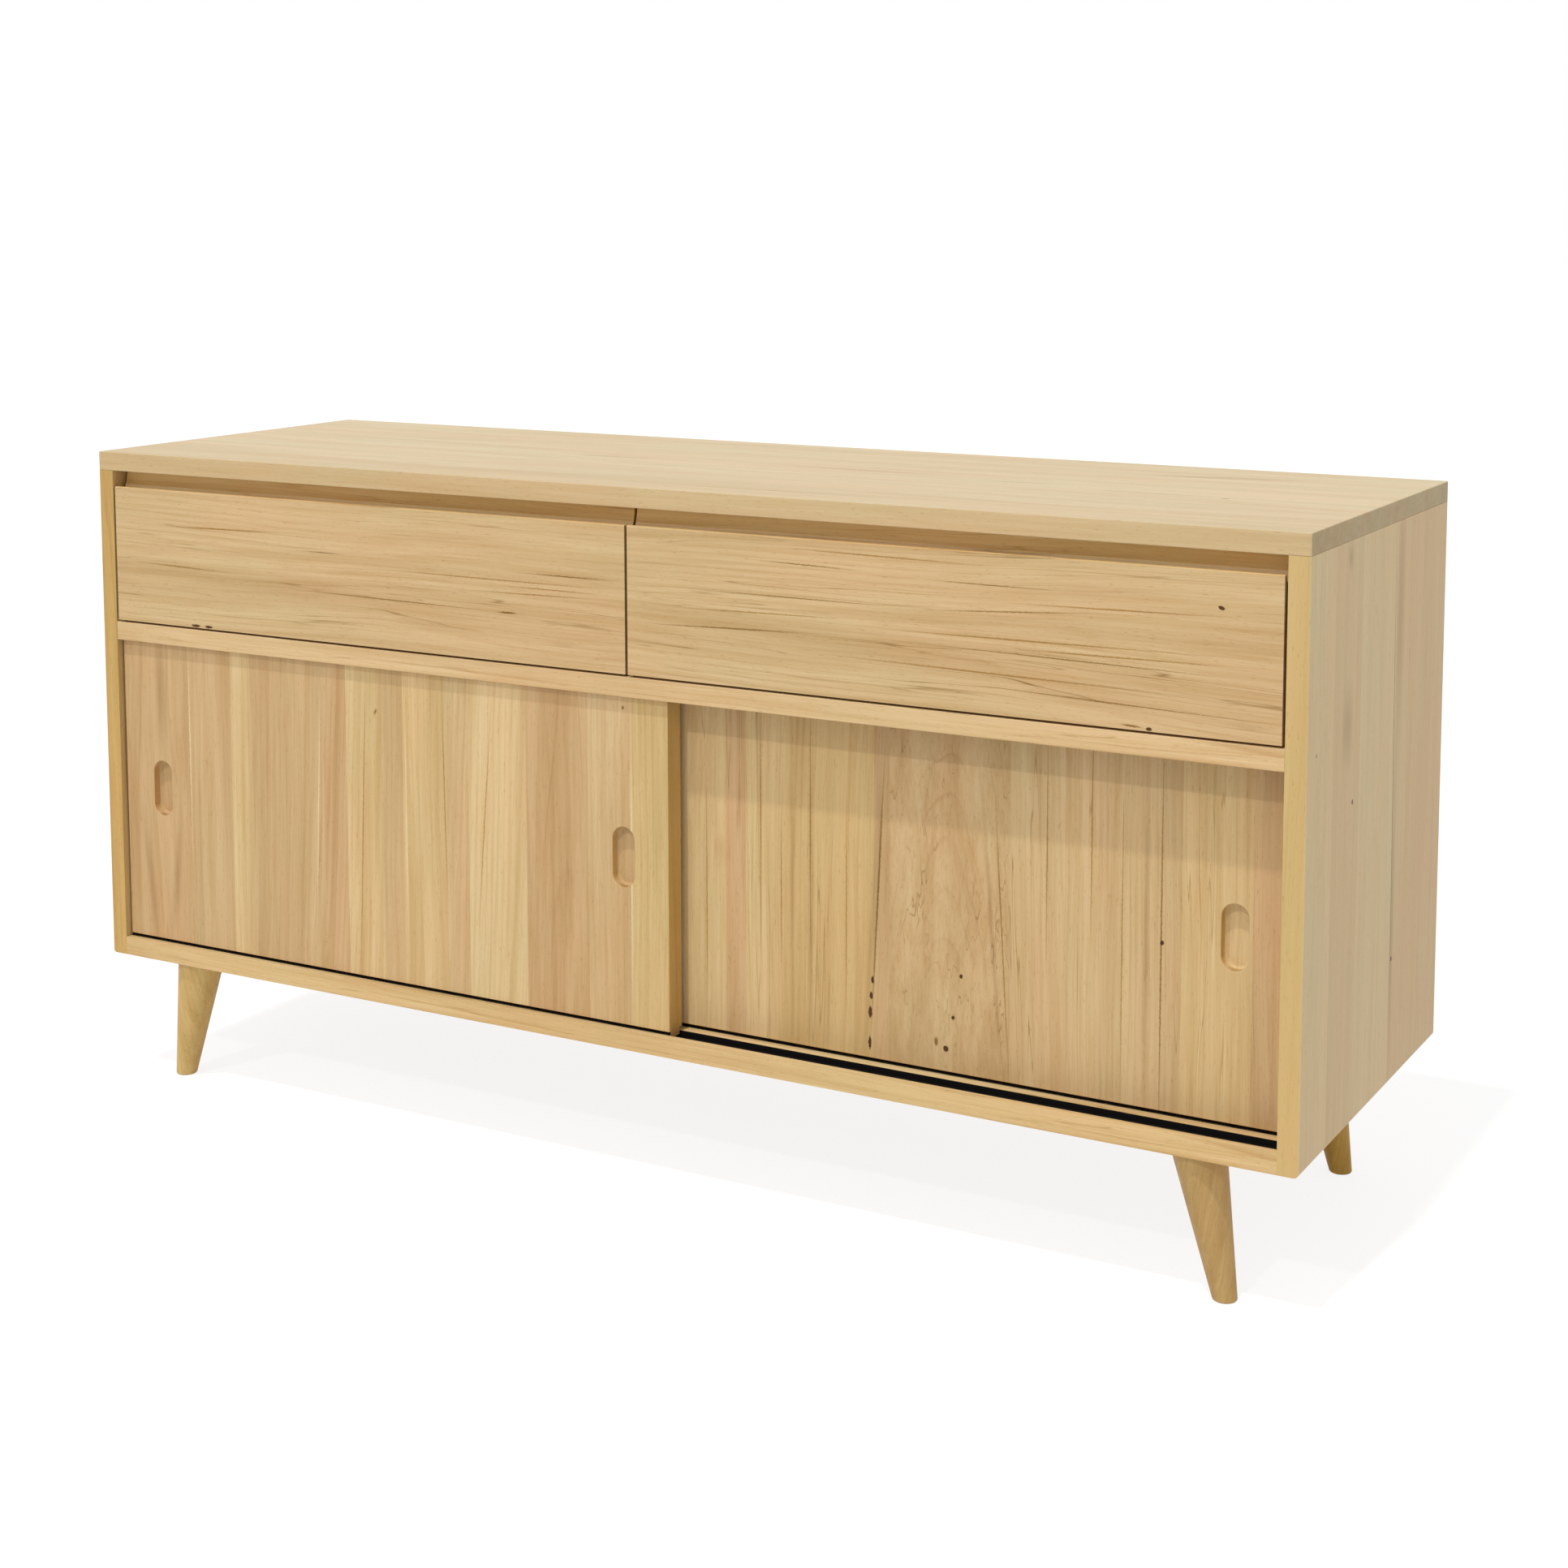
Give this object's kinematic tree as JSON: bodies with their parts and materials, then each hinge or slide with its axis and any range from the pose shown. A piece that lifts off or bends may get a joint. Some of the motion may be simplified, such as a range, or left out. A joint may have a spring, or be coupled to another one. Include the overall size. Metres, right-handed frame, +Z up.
{
  "type": "sliding door cabinet",
  "caption": "Low wooden sideboard with drawers opened by a finger pull above sliding doors with hand recesses, on splayed tapered legs.",
  "frame": {"origin": "on the floor, under the middle of the cabinet", "axes": "+X to the right along the front, +Y to the back, +Z up"},
  "size_m": [1.5, 0.47, 0.765],
  "materials": {
    "top_wood": "matt oiled pale hardwood",
    "side_wood": "matt oiled pale hardwood",
    "rail_wood": "matt oiled pale hardwood",
    "drawer_wood": "matt oiled pale hardwood",
    "door_wood": "matt oiled pale hardwood",
    "leg_wood": "matt oiled pale hardwood",
    "inner_wood": "matt oiled pale hardwood",
    "plywood": "sanded birch plywood, unlacquered",
    "steel": "zinc-plated steel",
    "nylon": "moulded white nylon",
    "track_plastic": "black plastic"
  },
  "bodies": {
    "carcass": {"top_panel": "top_wood", "bottom_panel": "rail_wood", "right_side_panel": "side_wood", "left_side_panel": "side_wood", "drawer_deck": "rail_wood", "front_door_lower_track": "track_plastic", "front_door_upper_track": "track_plastic", "rear_door_lower_track": "track_plastic", "rear_door_upper_track": "track_plastic", "drawer_divider": "inner_wood", "lower_divider": "inner_wood", "back_panel": "plywood", "front_left_leg": "leg_wood", "front_left_leg_bolt": "steel", "front_right_leg": "leg_wood", "front_right_leg_bolt": "steel", "rear_left_leg": "leg_wood", "rear_left_leg_bolt": "steel", "rear_right_leg": "leg_wood", "rear_right_leg_bolt": "steel", "left_shelf": "inner_wood", "left_shelf_front_outer_pin": "steel", "left_shelf_front_inner_pin": "steel", "left_shelf_rear_outer_pin": "steel", "left_shelf_rear_inner_pin": "steel", "left_drawer_outer_rail": "steel", "left_drawer_inner_rail": "steel", "right_shelf": "inner_wood", "right_shelf_front_outer_pin": "steel", "right_shelf_front_inner_pin": "steel", "right_shelf_rear_outer_pin": "steel", "right_shelf_rear_inner_pin": "steel", "right_drawer_outer_rail": "steel", "right_drawer_inner_rail": "steel"},
    "left_drawer": {"left_drawer_front": "drawer_wood", "left_drawer_box_front": "inner_wood", "left_drawer_box_back": "inner_wood", "left_drawer_left_side": "inner_wood", "left_drawer_right_side": "inner_wood", "left_drawer_bottom": "plywood", "left_drawer_outer_slide": "steel", "left_drawer_inner_slide": "steel"},
    "right_drawer": {"right_drawer_front": "drawer_wood", "right_drawer_box_front": "inner_wood", "right_drawer_box_back": "inner_wood", "right_drawer_left_side": "inner_wood", "right_drawer_right_side": "inner_wood", "right_drawer_bottom": "plywood", "right_drawer_outer_slide": "steel", "right_drawer_inner_slide": "steel"},
    "front_door": {"front_door_panel": "door_wood", "front_door_left_glide": "nylon", "front_door_right_glide": "nylon"},
    "rear_door": {"rear_door_panel": "door_wood", "rear_door_left_glide": "nylon", "rear_door_right_glide": "nylon"}
  },
  "joints": [
    {"name": "left_drawer_slide", "type": "slide", "parent": "carcass", "child": "left_drawer", "axis": [0, -1, 0], "range_m": [0, 0.26]},
    {"name": "right_drawer_slide", "type": "slide", "parent": "carcass", "child": "right_drawer", "axis": [0, -1, 0], "range_m": [0, 0.26]},
    {"name": "front_door_slide", "type": "slide", "parent": "carcass", "child": "front_door", "axis": [1, 0, 0], "range_m": [0, 0.679]},
    {"name": "rear_door_slide", "type": "slide", "parent": "carcass", "child": "rear_door", "axis": [1, 0, 0], "range_m": [-0.679, 0]}
  ]
}
